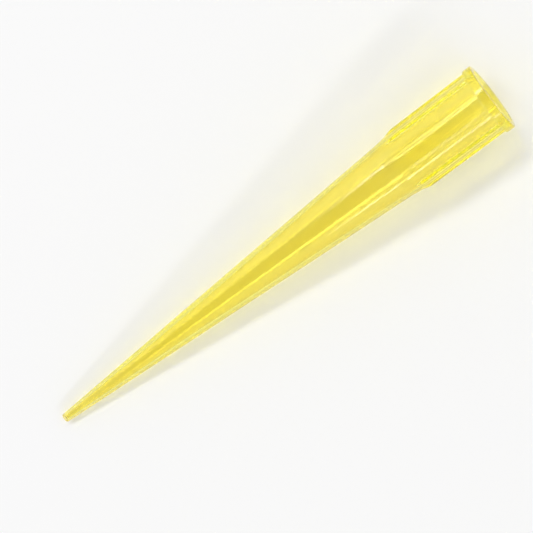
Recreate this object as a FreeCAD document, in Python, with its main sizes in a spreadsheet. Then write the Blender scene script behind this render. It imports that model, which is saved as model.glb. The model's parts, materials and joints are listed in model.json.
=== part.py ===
import FreeCAD, Part
import Sketcher

import math
import os

# A 200 microlitre pipette tip, moulded in one piece from thin polypropylene.
#
# The tip is a hollow taper, open at both ends. Its wide mouth has a lip round the rim, a collar with fine
# ribs, and inside them a tapered socket with a straight seat that grips a pipette's nozzle. Under the
# collar the wall steps in to the body, which holds the liquid and runs down to a small orifice.
#
# The tip's own X axis runs along it: the rim is at 0 and the orifice at the overall length. The finished
# tip lies on its side on the plane Z = 0 as it comes to rest, on two neighbouring ribs and on the end of
# its point. All sizes are in millimetres.

SIZES = [
    ("overall_length", 51.0, "rim to orifice"),
    ("point_length", 15.0, "the fine last stretch, back from the orifice"),
    ("collar_length", 10.0, "rim to shoulder"),
    ("shoulder_length", 0.8, "slope from the collar down to the body"),
    ("lip_thickness", 0.9, "lip, along the tip"),
    ("lip_overhang", 0.38, "lip beyond the collar"),
    ("lip_rounding", 0.15, "the lip's two outer edges"),
    ("mouth_wall", 0.3, "wall under the lip"),
    ("collar_wall", 0.42, "wall at the collar's lower end"),
    ("body_wall", 0.43, "wall under the shoulder"),
    ("waist_wall", 0.47, "wall where the point begins"),
    ("point_wall", 0.2, "wall at the orifice"),
    ("point_rounding", 0.06, "outer edge round the orifice"),
    ("rib_count", 10, "ribs round the collar"),
    ("rib_width", 0.5, "one rib, half-round on its crest"),
    ("rib_height", 0.17, "rib above the collar, at the lip"),
    ("rib_setback", 1.0, "end of a rib's level crest, back from the shoulder"),
    ("rib_run_out", 1.6, "from there to where the crest is sunk in the wall"),
    ("seat_radius", 2.55, "straight seat that grips the nozzle"),
    ("seat_length", 3.0, "that seat, along the tip"),
    ("seat_depth", 3.0, "rim to seat"),
    ("socket_flare", 0.1, "how much wider the socket is above the seat"),
    ("socket_draw", 0.08, "how much narrower the socket is at its bottom"),
    ("lead_in_depth", 0.5, "chamfer inside the rim, along the tip"),
    ("lead_in_width", 0.13, "that chamfer, across the wall"),
    ("throat_setback", 0.4, "shoulder's lower end to the throat under the socket"),
    ("throat_length", 1.2, "that throat, along the tip"),
    ("throat_narrowing", 0.12, "how much narrower the bore is below it"),
    ("waist_bore_radius", 0.85, "bore where the point begins"),
    ("orifice_radius", 0.23, "bore at its end"),
]

# Distances from the rim.
SHOULDER_END = "(sizes.collar_length + sizes.shoulder_length)"
WAIST_AT = "(sizes.overall_length - sizes.point_length)"
SEAT_END = "(sizes.seat_depth + sizes.seat_length)"
THROAT_AT = f"({SHOULDER_END} + sizes.throat_setback)"
THROAT_END = f"({THROAT_AT} + sizes.throat_length)"
RIB_START = "(sizes.lip_thickness / 2)"
RIB_LEVEL_TO = "(sizes.collar_length - sizes.rib_setback)"
RIB_SUNK_AT = f"({RIB_LEVEL_TO} + sizes.rib_run_out)"

# Radii inside the tip.
SOCKET_TOP = "(sizes.seat_radius + sizes.socket_flare)"
MOUTH = f"({SOCKET_TOP} + sizes.lead_in_width)"
SOCKET_BOTTOM = "(sizes.seat_radius - sizes.socket_draw)"
BODY_BORE = f"({SOCKET_BOTTOM} - sizes.throat_narrowing)"

# Radii outside it: the bore and the wall round it, so that a wider bore moves the wall out.
COLLAR_TOP = f"({SOCKET_TOP} + sizes.mouth_wall)"
COLLAR_LOW = f"({SOCKET_BOTTOM} + sizes.collar_wall)"
BODY_TOP = f"({BODY_BORE} + sizes.body_wall)"
WAIST = "(sizes.waist_bore_radius + sizes.waist_wall)"
POINT = "(sizes.orifice_radius + sizes.point_wall)"
LIP = f"({COLLAR_TOP} + sizes.lip_overhang)"
RIB_CREST = f"({COLLAR_TOP} + sizes.rib_height)"
RIB_SUNK = f"({SOCKET_BOTTOM} + sizes.collar_wall / 2)"
RIB_ROOT = f"({SOCKET_BOTTOM} - sizes.rib_width)"

# How far down a pair of ribs reaches when the gap between them faces down.
HALF_PITCH = "(180 / sizes.rib_count)"
RIB_REACH = f"(({RIB_CREST} - sizes.rib_width / 2) * cos({HALF_PITCH}) + sizes.rib_width / 2)"

# How the tip lies. Its weight bears down between its collar and its waist, so it rests on one place at the
# collar and on its waist or its point, and no other place reaches below the line through those two.
COLLAR_PLACES = [
    ("sizes.lip_thickness", LIP),
    (RIB_LEVEL_TO, RIB_REACH),
    ("sizes.collar_length", COLLAR_LOW),
    (SHOULDER_END, BODY_TOP),
]
POINT_PLACES = [
    (WAIST_AT, WAIST),
    ("sizes.overall_length", POINT),
]
GENTLEST = [
    "min(" + "; ".join(f"({radius} - {low}) / ({far} - {at})" for far, low in POINT_PLACES) + ")"
    for at, radius in COLLAR_PLACES
]
TILT = f"atan(max({'; '.join(GENTLEST)}))"
REACHES = [f"{at} * sin({TILT}) + {radius} * cos({TILT})" for at, radius in COLLAR_PLACES + POINT_PLACES]
RIM_HEIGHT = f"max({'; '.join(REACHES)})"

# How far apart two places may be and still count as the same, and the most the tip may hang or sink.
SAME_PLACE = 1e-4
FLOOR_GAP = 0.01


def make_sheet(doc):
    """The driving sizes, one to a row: name, value and what it measures."""
    sheet = doc.addObject("Spreadsheet::Sheet", "sizes")
    for row, (name, value, meaning) in enumerate(SIZES, start=1):
        sheet.set(f"A{row}", name)
        sheet.set(f"B{row}", str(value))
        sheet.set(f"C{row}", meaning)
        sheet.setAlias(f"B{row}", name)
    doc.recompute()


def add_sketch(body, name, role):
    """An empty sketch on the body's own origin plane with this role."""
    sketch = body.newObject("Sketcher::SketchObject", name)
    plane = next(item for item in body.Origin.OriginFeatures if item.Role == role)
    sketch.AttachmentSupport = [(plane, "")]
    sketch.MapMode = "FlatFace"
    return sketch


def value_of(item, expression):
    """What an expression comes to, such as where a point goes before its constraint holds it there."""
    return float(item.evalExpression(expression))


def constrain(sketch, *rule):
    """Adds a geometric constraint."""
    return sketch.addConstraint(Sketcher.Constraint(*rule))


def dimension(sketch, name, rule, expression):
    """Adds a named dimension, bound to the sheet."""
    index = constrain(sketch, *rule, value_of(sketch, expression))
    sketch.renameConstraint(index, name)
    sketch.setExpression(f"Constraints.{name}", expression)


def add_outline(body, name, stations):
    """Half of a section along the tip: out from the axis at the rim, past each station, back to the axis.

    A station is a name, a distance from the rim and a radius. The first is at the rim.
    """
    sketch = add_sketch(body, name, "XZ_Plane")
    corners = [FreeCAD.Vector(value_of(sketch, at), value_of(sketch, r), 0) for _, at, r in stations]
    points = [FreeCAD.Vector(0, 0, 0), *corners, FreeCAD.Vector(corners[-1].x, 0, 0)]
    count = len(points)
    for start in range(count):
        sketch.addGeometry(Part.LineSegment(points[start], points[(start + 1) % count]), False)
    for line in range(count):
        constrain(sketch, "Coincident", line, 2, (line + 1) % count, 1)
    constrain(sketch, "Coincident", 0, 1, -1, 1)
    constrain(sketch, "PointOnObject", count - 1, 1, -1)
    constrain(sketch, "Vertical", 0)
    constrain(sketch, "Vertical", count - 2)
    for line, (station, at, radius) in enumerate(stations):
        if line > 0:
            dimension(sketch, f"{station}_at", ("DistanceX", -1, 1, line, 2), at)
        dimension(sketch, f"{station}_radius", ("DistanceY", -1, 1, line, 2), radius)
    return sketch


def add_rib_section(body, name, at, crest):
    """A rib's section across the tip, half a pitch off straight down: straight sides, half-round crest."""
    sketch = add_sketch(body, name, "YZ_Plane")
    sketch.setExpression("AttachmentOffset.Base.z", at)
    sketch.setExpression("AttachmentOffset.Rotation.Angle", f"180 + {HALF_PITCH}")
    half = value_of(sketch, "sizes.rib_width / 2")
    root = value_of(sketch, RIB_ROOT)
    centre = value_of(sketch, f"{crest} - sizes.rib_width / 2")
    right_root = FreeCAD.Vector(half, root, 0)
    left_root = FreeCAD.Vector(-half, root, 0)
    circle = Part.Circle(FreeCAD.Vector(0, centre, 0), FreeCAD.Vector(0, 0, 1), half)
    foot = sketch.addGeometry(Part.LineSegment(left_root, right_root), False)
    right = sketch.addGeometry(Part.LineSegment(right_root, FreeCAD.Vector(half, centre, 0)), False)
    crown = sketch.addGeometry(Part.ArcOfCircle(circle, 0, math.pi), False)
    left = sketch.addGeometry(Part.LineSegment(FreeCAD.Vector(-half, centre, 0), left_root), False)
    constrain(sketch, "Coincident", foot, 2, right, 1)
    constrain(sketch, "Coincident", left, 2, foot, 1)
    constrain(sketch, "Tangent", right, 2, crown, 1)
    constrain(sketch, "Tangent", crown, 2, left, 1)
    constrain(sketch, "Horizontal", foot)
    constrain(sketch, "Vertical", right)
    constrain(sketch, "Vertical", left)
    constrain(sketch, "PointOnObject", crown, 3, -2)
    dimension(sketch, "width", ("DistanceX", foot, 1, foot, 2), "sizes.rib_width")
    dimension(sketch, "root_radius", ("DistanceY", -1, 1, foot, 2), RIB_ROOT)
    dimension(sketch, "crest_centre", ("DistanceY", -1, 1, crown, 3), f"{crest} - sizes.rib_width / 2")
    return sketch


def add_outside(body):
    """The tip's outside, turned as a solid: lip, collar, shoulder, body and point."""
    outline = add_outline(
        body,
        "outside_outline",
        [
            ("rim", "0", LIP),
            ("lip", "sizes.lip_thickness", LIP),
            ("collar", "sizes.lip_thickness", COLLAR_TOP),
            ("shoulder", "sizes.collar_length", COLLAR_LOW),
            ("body", SHOULDER_END, BODY_TOP),
            ("waist", WAIST_AT, WAIST),
            ("point", "sizes.overall_length", POINT),
        ],
    )
    outside = body.newObject("PartDesign::Revolution", "outside")
    outside.Profile = outline
    outside.ReferenceAxis = (outline, ["H_Axis"])
    outside.Angle = 360
    return outline, outside


def add_ribs(body, outline):
    """One rib, from inside the lip to where its crest runs out into the wall, repeated round the collar.

    Its foot reaches in past the wall, where the bore cuts it off.
    """
    upper = add_rib_section(body, "rib_at_lip", RIB_START, RIB_CREST)
    lower = add_rib_section(body, "rib_at_slope", RIB_LEVEL_TO, RIB_CREST)
    sunk = add_rib_section(body, "rib_run_out", RIB_SUNK_AT, RIB_SUNK)
    rib = body.newObject("PartDesign::AdditiveLoft", "rib")
    rib.Profile = upper
    rib.Sections = [lower, sunk]
    rib.Ruled = True
    ribs = body.newObject("PartDesign::PolarPattern", "ribs")
    ribs.Originals = [rib]
    ribs.Axis = (outline, ["H_Axis"])
    ribs.Angle = 360
    ribs.setExpression("Occurrences", "sizes.rib_count")
    body.Tip = ribs
    return ribs


def add_bore(body):
    """The way through: lead-in, tapered socket with its straight seat, throat, body and orifice."""
    outline = add_outline(
        body,
        "bore_outline",
        [
            ("mouth", "0", MOUTH),
            ("lead_in", "sizes.lead_in_depth", SOCKET_TOP),
            ("seat", "sizes.seat_depth", "sizes.seat_radius"),
            ("seat_end", SEAT_END, "sizes.seat_radius"),
            ("throat", THROAT_AT, SOCKET_BOTTOM),
            ("body_bore", THROAT_END, BODY_BORE),
            ("waist_bore", WAIST_AT, "sizes.waist_bore_radius"),
            ("orifice", "sizes.overall_length", "sizes.orifice_radius"),
        ],
    )
    bore = body.newObject("PartDesign::Groove", "bore")
    bore.Profile = outline
    bore.ReferenceAxis = (outline, ["H_Axis"])
    bore.Angle = 360
    return bore


def circles_at(shape, rings):
    """The names of the full circles round the X axis at these (distance from the rim, radius) pairs."""
    found = []
    for number, edge in enumerate(shape.Edges, start=1):
        if not isinstance(edge.Curve, Part.Circle) or not edge.isClosed():
            continue
        centre, radius = edge.Curve.Center, edge.Curve.Radius
        if any(math.hypot(centre.x - at, radius - r) < SAME_PLACE for at, r in rings):
            found.append(f"Edge{number}")
    return found


def add_rounding(body, base, name, size, rings):
    """Rounds the circles at these stations of the outside."""
    places = [(value_of(body, at), value_of(body, radius)) for at, radius in rings]
    rounding = body.newObject("PartDesign::Fillet", name)
    rounding.Base = (base, circles_at(base.Shape, places))
    rounding.setExpression("Radius", size)
    return rounding


def lay_down(body):
    """Tilts the tip's own X axis to how it lies on the floor, and centres the tip over the origin."""
    body.Placement = FreeCAD.Placement(FreeCAD.Vector(), FreeCAD.Rotation(FreeCAD.Vector(0, 1, 0), 1))
    low_end = f"sizes.overall_length * cos({TILT}) + {POINT} * sin({TILT})"
    body.setExpression("Placement.Rotation.Angle", TILT)
    body.setExpression("Placement.Base.x", f"({LIP} * sin({TILT}) - ({low_end})) / 2")
    body.setExpression("Placement.Base.z", RIM_HEIGHT)


def check(doc, body):
    """Stops on a failed object, a loose sketch, or a tip that isn't one sound solid on the floor."""
    for item in doc.Objects:
        if {"Invalid", "Error"} & set(item.State):
            raise RuntimeError(f"{item.Name} failed: {item.State}")
        if item.isDerivedFrom("Sketcher::SketchObject") and not item.FullyConstrained:
            raise RuntimeError(f"{item.Name} isn't fully constrained")
    shape = body.Shape
    if shape.isNull() or not shape.isValid() or len(shape.Solids) != 1:
        raise RuntimeError(f"{body.Label} isn't one valid solid")
    if abs(shape.optimalBoundingBox(False).ZMin) > FLOOR_GAP:
        raise RuntimeError(f"{body.Label} doesn't rest on the floor")


def check_volumes(outside, ribs, bore):
    """Stops if the ribs add nothing to the outside, or the bore cuts nothing from them."""
    if ribs.Shape.Volume <= outside.Shape.Volume:
        raise RuntimeError("the ribs don't stand out of the collar")
    if bore.Shape.Volume >= ribs.Shape.Volume:
        raise RuntimeError("the bore doesn't cut the tip")


doc = FreeCAD.newDocument("pipette_tip")
make_sheet(doc)
body = doc.addObject("PartDesign::Body", "tip")
body.Label = "pipette_tip"
outline, outside = add_outside(body)
ribs = add_ribs(body, outline)
doc.recompute()
bore = add_bore(body)
doc.recompute()
lip_rounding = add_rounding(
    body, bore, "lip_rounding", "sizes.lip_rounding", [("0", LIP), ("sizes.lip_thickness", LIP)]
)
doc.recompute()
add_rounding(body, lip_rounding, "point_rounding", "sizes.point_rounding", [("sizes.overall_length", POINT)])
lay_down(body)
doc.recompute()
check(doc, body)
check_volumes(outside, ribs, bore)
for step in (outside, ribs, bore, body):
    print(f"{step.Label}: {step.Shape.Volume:.3f} mm3")
box = body.Shape.optimalBoundingBox(False)
print(f"box: {box.XLength:.3f} x {box.YLength:.3f} x {box.ZLength:.3f}, tilt {value_of(body, TILT):.4f}")

os.makedirs("parts", exist_ok=True)
body.Shape.exportStep(os.path.join("parts", f"{body.Label}.step"))
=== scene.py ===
import json
import math

import bpy
import numpy as np
from mathutils import Matrix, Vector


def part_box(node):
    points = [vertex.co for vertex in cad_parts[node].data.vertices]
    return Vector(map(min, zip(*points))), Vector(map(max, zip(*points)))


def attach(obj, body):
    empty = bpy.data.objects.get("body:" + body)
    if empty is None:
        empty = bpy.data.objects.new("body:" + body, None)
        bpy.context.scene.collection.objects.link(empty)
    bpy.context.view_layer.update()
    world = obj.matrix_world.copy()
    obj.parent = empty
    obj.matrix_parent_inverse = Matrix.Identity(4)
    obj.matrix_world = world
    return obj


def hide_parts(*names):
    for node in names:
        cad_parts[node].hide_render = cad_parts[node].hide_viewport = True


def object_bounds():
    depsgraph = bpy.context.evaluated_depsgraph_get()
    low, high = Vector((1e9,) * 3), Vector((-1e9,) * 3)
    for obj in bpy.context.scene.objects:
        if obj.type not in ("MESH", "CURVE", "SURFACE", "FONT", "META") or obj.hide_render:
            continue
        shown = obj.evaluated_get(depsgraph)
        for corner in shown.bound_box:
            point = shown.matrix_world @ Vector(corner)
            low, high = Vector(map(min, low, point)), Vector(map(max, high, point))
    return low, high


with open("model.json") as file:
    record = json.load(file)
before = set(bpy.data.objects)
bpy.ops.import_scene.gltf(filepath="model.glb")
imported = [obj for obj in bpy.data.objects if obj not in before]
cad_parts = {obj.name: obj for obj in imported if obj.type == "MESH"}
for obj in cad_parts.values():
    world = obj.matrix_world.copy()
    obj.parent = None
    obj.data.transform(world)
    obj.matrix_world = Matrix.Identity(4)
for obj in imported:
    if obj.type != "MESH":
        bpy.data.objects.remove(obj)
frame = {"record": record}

cad_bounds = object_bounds()

# Camera. It looks down on the tip, which lies on its side, from a little towards the mouth, so that the
# mouth shows as open. It is rolled so that the tip runs up to the right, mouth first.

MM = 0.001
lens_mm, sensor_mm = 100.0, 36.0
camera_leans = math.radians(12)
tip_runs_up = math.radians(37)
tip_fills = 0.84

low, high = np.array(cad_bounds)
middle = (low + high) / 2
shown_width = (high - low)[0] * math.cos(tip_runs_up) / tip_fills
turn = Matrix.Rotation(-camera_leans, 3, "Y") @ Matrix.Rotation(math.pi - tip_runs_up, 3, "Z")
camera_data = bpy.data.cameras.new("camera")
camera_data.lens = lens_mm
camera_data.sensor_width = sensor_mm
camera_data.clip_start = MM
camera = bpy.data.objects.new("camera", camera_data)
camera.location = middle + np.array(turn.col[2]) * shown_width * lens_mm / sensor_mm
camera.rotation_euler = turn.to_euler()
bpy.context.scene.collection.objects.link(camera)
bpy.context.scene.camera = camera
bpy.context.scene.view_settings.view_transform = "Standard"

# Pipette tip. One thin shell of translucent yellow polypropylene, injection moulded round a core pin that
# forms the whole bore. The lip and the ribs stiffen the mouth, where the nozzle is pushed in.

mounts = {mount["name"]: mount for mount in frame["record"]["mounts"]}
rim = np.array(mounts["rim"]["pos_m"])
along = -np.array(mounts["rim"]["axis"]) / np.linalg.norm(mounts["rim"]["axis"])
side = np.array([0.0, 1.0, 0.0])
up = np.cross(along, side)
tilt = math.atan2(-along[2], along[0])
seat_radius = mounts["nozzle_seat"]["dims"]["r_mm"]
seat_length = mounts["nozzle_seat"]["dims"]["length_mm"]
seat_middle = float((np.array(mounts["nozzle_seat"]["pos_m"]) - rim) @ along) / MM
seat_start, seat_end = seat_middle - seat_length / 2, seat_middle + seat_length / 2
far_corner = np.array(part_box("pipette_tip")[1])
point_radius = 0.43
lip_radius = far_corner[1] / MM
tip_length = (far_corner[0] - rim[0]) / MM / math.cos(tilt) - point_radius * math.tan(tilt)

# The other sizes, in mm. Most lines give a place, as a distance from the rim, and then the radii there.
lip_thickness, lip_rounding = 0.90, 0.15
lead_in, lead_in_radius, mouth_radius = 0.5, seat_radius + 0.10, seat_radius + 0.23
collar_length, collar_top, collar_low = 10.0, 2.95, 2.89
shoulder_end, body_top = collar_length + 0.8, 2.78
throat_start, throat_top = shoulder_end + 0.4, 2.47
throat_end, throat_low = shoulder_end + 1.6, 2.35
waist, waist_radius, waist_bore_radius = tip_length - 15.0, 1.32, 0.85
orifice_radius = 0.23
rib_level_to, rib_crest = 9.0, 3.12
rib_sunk_at, rib_sunk = 10.6, 2.68
rib_count, rib_width, rib_fillet = 10, 0.50, 0.03

# Each corner of the wall's section: distance from the rim, radius, how far its rounding reaches along each
# leg, and how many rows the leg after it takes. They go down the outside and come back up the bore.
section = np.array([
    (0.0, lip_radius, lip_rounding, 6),
    (lip_thickness, lip_radius, lip_rounding, 6),
    (lip_thickness, collar_top, 0.06, 44),
    (collar_length, collar_low, 0.20, 6),
    (shoulder_end, body_top, 0.20, 44),
    (waist, waist_radius, 1.50, 30),
    (tip_length, point_radius, 0.06, 3),
    (tip_length, orifice_radius, 0.03, 30),
    (waist, waist_bore_radius, 1.50, 44),
    (throat_end, throat_low, 0.25, 4),
    (throat_start, throat_top, 0.25, 16),
    (seat_end, seat_radius, 0.40, 8),
    (seat_start, seat_radius, 0.40, 8),
    (lead_in, lead_in_radius, 0.10, 4),
    (0.0, mouth_radius, 0.05, 6),
])
outer_corners = 7
rounding_rows = 7
columns_per_rib, crowding = 24, 0.6


def rounded_section(section):
    """The section as rows of (distance from the rim, radius), and how many rows are outside.

    A corner C is cut at points A and B on its two legs, and its rounding is the parabola
    (1 - t)^2 A + 2 t (1 - t) C + t^2 B. A leg's rows crowd towards its ends, as (1 - cos(pi s)) / 2.
    Roundings and legs take turns, and the outside ends with its last corner's rounding.
    """
    corner, cut, rows = section[:, :2], section[:, 2:3], section[:, 3].astype(int)
    leg = np.roll(corner, -1, axis=0) - corner
    onward = leg / np.linalg.norm(leg, axis=1, keepdims=True)
    a, b = corner - cut * np.roll(onward, 1, axis=0), corner + cut * onward
    t = np.linspace(0, 1, rounding_rows)[:, None]
    arcs = (1 - t) ** 2 * a[:, None] + 2 * t * (1 - t) * corner[:, None] + t**2 * b[:, None]
    runs = []
    for arc, start, end, count in zip(arcs, b, np.roll(a, -1, axis=0), rows):
        s = (1 - np.cos(np.pi * np.linspace(0, 1, count + 2)[1:-1, None])) / 2
        runs += [arc, start + s * (end - start)]
    return np.concatenate(runs), sum(len(run) for run in runs[: 2 * outer_corners - 1])


def softened(a, b, size, sign):
    """The larger (sign 1) or smaller (sign -1) of two surfaces, blended: the mean plus or minus half of
    the square root of their difference squared plus size squared."""
    return (a + b + sign * np.sqrt((a - b) ** 2 + size**2)) / 2


def rib_rise(x, plain, angle):
    """How far the ribs stand above a plain wall of this radius.

    A rib is a half-round bar of radius w, its centre at c = crest - w. At an angle p off the rib its
    surface lies at c cos p + sqrt(w^2 - c^2 sin^2 p) from the axis. The crest is level, then runs down.
    """
    off = (angle % (2 * math.pi / rib_count)) - math.pi / rib_count
    run_out = rib_crest - (x - rib_level_to) * (rib_crest - rib_sunk) / (rib_sunk_at - rib_level_to)
    crest = softened(np.full_like(x, rib_crest), run_out, rib_fillet, -1)
    w = rib_width / 2
    c = crest - w
    bar = c * np.cos(off) + np.sqrt(np.maximum(w**2 - (c * np.sin(off)) ** 2, 0))
    return softened(plain, bar, rib_fillet, 1) - plain


def tip_surface():
    """The whole skin as a grid closed both ways: rows down the outside and up the bore, columns round it.

    Columns crowd at the ribs: within a pitch the angle is s + crowding sin(2 pi s) / 2 pi. Under the lip
    the rib's rise grows from nothing at the lip's edge to all of it at the collar.
    """
    rows, outside = rounded_section(section)
    x, r = rows[:, :1], rows[:, 1:]
    s = np.arange(rib_count * columns_per_rib) / columns_per_rib
    angle = (s + crowding * np.sin(2 * math.pi * s) / (2 * math.pi)) * 2 * math.pi / rib_count
    under_lip = lip_radius - lip_rounding
    share = np.clip((under_lip - r) / (under_lip - collar_top), 0, 1)
    share *= (x > lip_thickness / 2) & (np.arange(len(rows))[:, None] < outside)
    radius = r + share * rib_rise(x, np.minimum(r, collar_top), angle)
    outward = np.sin(angle)[:, None] * side - np.cos(angle)[:, None] * up
    return rim + MM * (x[:, :, None] * along + radius[:, :, None] * outward)


def grid_mesh(name, points):
    """A smooth closed mesh of quads from a grid of points that wraps round both ways."""
    rows, columns = points.shape[:2]
    i, j = np.meshgrid(np.arange(rows), np.arange(columns), indexing="ij")
    i, j = i.ravel(), j.ravel()
    corners = [(i, j), (i, j + 1), (i + 1, j + 1), (i + 1, j)]
    quads = np.stack([(a % rows) * columns + b % columns for a, b in corners], axis=1)
    mesh = bpy.data.meshes.new(name)
    mesh.from_pydata(points.reshape(-1, 3).tolist(), [], quads.tolist())
    mesh.shade_smooth()
    return mesh


class Wire:
    """A socket in a shader's node tree, or the tree alone. Arithmetic on it adds Math nodes."""

    def __init__(self, tree, socket=None):
        self.tree, self.socket = tree, socket

    def node(self, kind, settings, inputs, output=0):
        """Adds a node with these settings, gives each input its value or link, and returns an output."""
        made = self.tree.nodes.new(kind)
        for name, value in settings.items():
            setattr(made, name, value)
        for name, value in inputs.items():
            if isinstance(value, Wire):
                self.tree.links.new(value.socket, made.inputs[name])
            else:
                made.inputs[name].default_value = value
        return Wire(self.tree, made.outputs[output] if made.outputs else None)

    def __add__(self, other):
        return self.node("ShaderNodeMath", {"operation": "ADD"}, {0: self, 1: other})

    def __mul__(self, other):
        return self.node("ShaderNodeMath", {"operation": "MULTIPLY"}, {0: self, 1: other})

    __radd__ = __add__
    __rmul__ = __mul__


def blank_tree(owner):
    """The node tree of a material or world, emptied."""
    owner.use_nodes = True
    owner.node_tree.nodes.clear()
    return Wire(owner.node_tree)


def polypropylene():
    """Clear polypropylene with a yellow dye that takes mostly blue, more the further light goes through it.

    The dye is in the volume. The surface colour is the plastic's own pale yellow with faint streaks of
    deeper yellow,
    plus a painted shade: a deeper, darker yellow where the wall is seen at a slant, towards its edges. The
    streaks, ripples and gloss follow the flow of the melt along the mould.
    """
    dye_per_mm = np.array([0.001, 0.006, 0.75])
    refraction = 1.49
    # The facing colour is the plastic's own pale yellow; the slanting colour is a painted shade for walls
    # seen at a slant.
    facing_tint, painted_slant_shade = (0.985, 0.957, 0.71, 1), (0.94, 0.82, 0.06, 1)
    slant_blend, streak_depth = 0.4, 0.3
    flow_stretch = (0.05, 1.1, 1.1)
    flow_height, peel_height = 0.0045, 0.0012
    gloss, flow_matt, peel_matt = 0.07, 0.05, 0.03
    material = bpy.data.materials.new("yellow_polypropylene")
    tree = blank_tree(material)
    place = tree.node("ShaderNodeTexCoord", {}, {}, "Object")
    # The tip's own coordinates, in mm from its rim: x runs along it and z stands up from it.
    own = tree.node(
        "ShaderNodeMapping",
        {"vector_type": "TEXTURE"},
        {"Vector": place, "Location": rim.tolist(), "Rotation": (0, tilt, 0), "Scale": (MM, MM, MM)},
    )
    stretched = tree.node("ShaderNodeVectorMath", {"operation": "MULTIPLY"}, {0: own, 1: flow_stretch})
    flow = tree.node("ShaderNodeTexNoise", {}, {"Vector": stretched, "Scale": 1.0, "Detail": 1.0})
    peel = tree.node("ShaderNodeTexNoise", {}, {"Vector": own, "Scale": 1.0, "Detail": 0.0})
    height = flow_height * flow + peel_height * peel
    bump = tree.node("ShaderNodeBump", {}, {"Height": height, "Distance": MM, "Strength": 1.0}, "Normal")
    # Painted shade: the yellow deepens and darkens as the wall turns away from the view. The flow noise
    # adds the plastic's own faint streaks.
    slant = tree.node("ShaderNodeLayerWeight", {}, {"Blend": slant_blend}, "Facing")
    painted_shade_and_streaks = slant + streak_depth * flow
    # A Mix node's sockets 6 and 7 are its two colours, and its output 2 is the mixed one.
    colours = {0: painted_shade_and_streaks, 6: facing_tint, 7: painted_slant_shade}
    tint = tree.node("ShaderNodeMix", {"data_type": "RGBA"}, colours, 2)
    plastic = tree.node(
        "ShaderNodeBsdfPrincipled",
        {},
        {
            "Base Color": tint,
            "Roughness": gloss + flow_matt * flow + peel_matt * peel,
            "Normal": bump,
            "IOR": refraction,
            "Transmission Weight": 1.0,
        },
    )
    # The volume takes off 1 less its colour, times its density, in each metre.
    dye = tree.node("ShaderNodeVolumeAbsorption", {}, {"Color": (*(1 - dye_per_mm), 1), "Density": 1 / MM})
    tree.node("ShaderNodeOutputMaterial", {}, {"Surface": plastic, "Volume": dye})
    return material


tip = bpy.data.objects.new("tip_moulding", grid_mesh("tip_moulding", tip_surface()))
tip.data.materials.append(polypropylene())
bpy.context.scene.collection.objects.link(tip)
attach(tip, "root")
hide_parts("pipette_tip")

# Light runs down the thin wall as in a light guide before it leaves, and the floor is lit through the
# tip, so the paths are long and none is blurred on the way.
cycles = bpy.context.scene.cycles
cycles.max_bounces = 96
cycles.glossy_bounces = 64
cycles.transmission_bounces = 48
cycles.blur_glossy = 0.0

# Floor. A sheet of matt white paper, which the tip lies on. It thins out to nothing far from the tip, so
# that no edge of it shows from low down.

floor_reach = 0.6
floor_drop = 0.02 * MM
paper_white = 0.9
whole_to, gone_at = 0.12, 0.5

floor_mesh = bpy.data.meshes.new("floor")
corner_signs = np.array([(-1, -1), (1, -1), (1, 1), (-1, 1)])
floor_corners = np.column_stack([corner_signs * floor_reach, np.full(4, low[2] - floor_drop)])
floor_mesh.from_pydata(floor_corners.tolist(), [], [(0, 1, 2, 3)])
floor = bpy.data.objects.new("floor", floor_mesh)
bpy.context.scene.collection.objects.link(floor)

paper = bpy.data.materials.new("white_paper")
tree = blank_tree(paper)
place = tree.node("ShaderNodeTexCoord", {}, {}, "Object")
reach = tree.node("ShaderNodeVectorMath", {"operation": "LENGTH"}, {0: place}, "Value")
thinning = tree.node(
    "ShaderNodeMapRange",
    {"interpolation_type": "SMOOTHSTEP"},
    {"Value": reach, "From Min": whole_to, "From Max": gone_at},
)
matt = tree.node("ShaderNodeBsdfDiffuse", {}, {"Color": (paper_white, paper_white, paper_white, 1)})
clear = tree.node("ShaderNodeBsdfTransparent", {}, {})
sheet = tree.node("ShaderNodeMixShader", {}, {0: thinning, 1: matt, 2: clear})
tree.node("ShaderNodeOutputMaterial", {}, {"Surface": sheet})
floor_mesh.materials.append(paper)

# Studio light. A white room that is dimmer overhead, and two long softboxes, one high on each side of the
# tip, so that each draws one thin highlight down the round wall.

wall_light, ceiling_light = 1.0, 0.63
walls_reach, ceiling_from = 0.2, 0.8

studio = bpy.data.worlds.new("studio")
bpy.context.scene.world = studio
tree = blank_tree(studio)
toward = tree.node("ShaderNodeTexCoord", {}, {}, "Generated")
rise = tree.node("ShaderNodeSeparateXYZ", {}, {"Vector": toward}, "Z")
light = tree.node(
    "ShaderNodeMapRange",
    {"interpolation_type": "SMOOTHSTEP"},
    {
        "Value": rise,
        "From Min": walls_reach,
        "From Max": ceiling_from,
        "To Min": wall_light,
        "To Max": ceiling_light,
    },
)
glow = tree.node("ShaderNodeBackground", {}, {"Color": (1, 1, 1, 1), "Strength": light})
tree.node("ShaderNodeOutputWorld", {}, {"Surface": glow})


def add_softbox(name, across, height, length, width, watts):
    """A rectangular lamp beside the tip's middle, its long side along the tip, facing the tip."""
    data = bpy.data.lights.new(name, "AREA")
    data.shape = "RECTANGLE"
    data.size, data.size_y = length, width
    data.energy = watts
    lamp = bpy.data.objects.new(name, data)
    lamp.location = (middle[0], across, height)
    lamp.rotation_euler = (math.atan2(-across, height), 0, 0)
    bpy.context.scene.collection.objects.link(lamp)


add_softbox("key_softbox", across=-0.78, height=1.02, length=0.9, width=0.2, watts=5.6)
add_softbox("fill_softbox", across=1.02, height=0.66, length=0.9, width=0.08, watts=2.2)
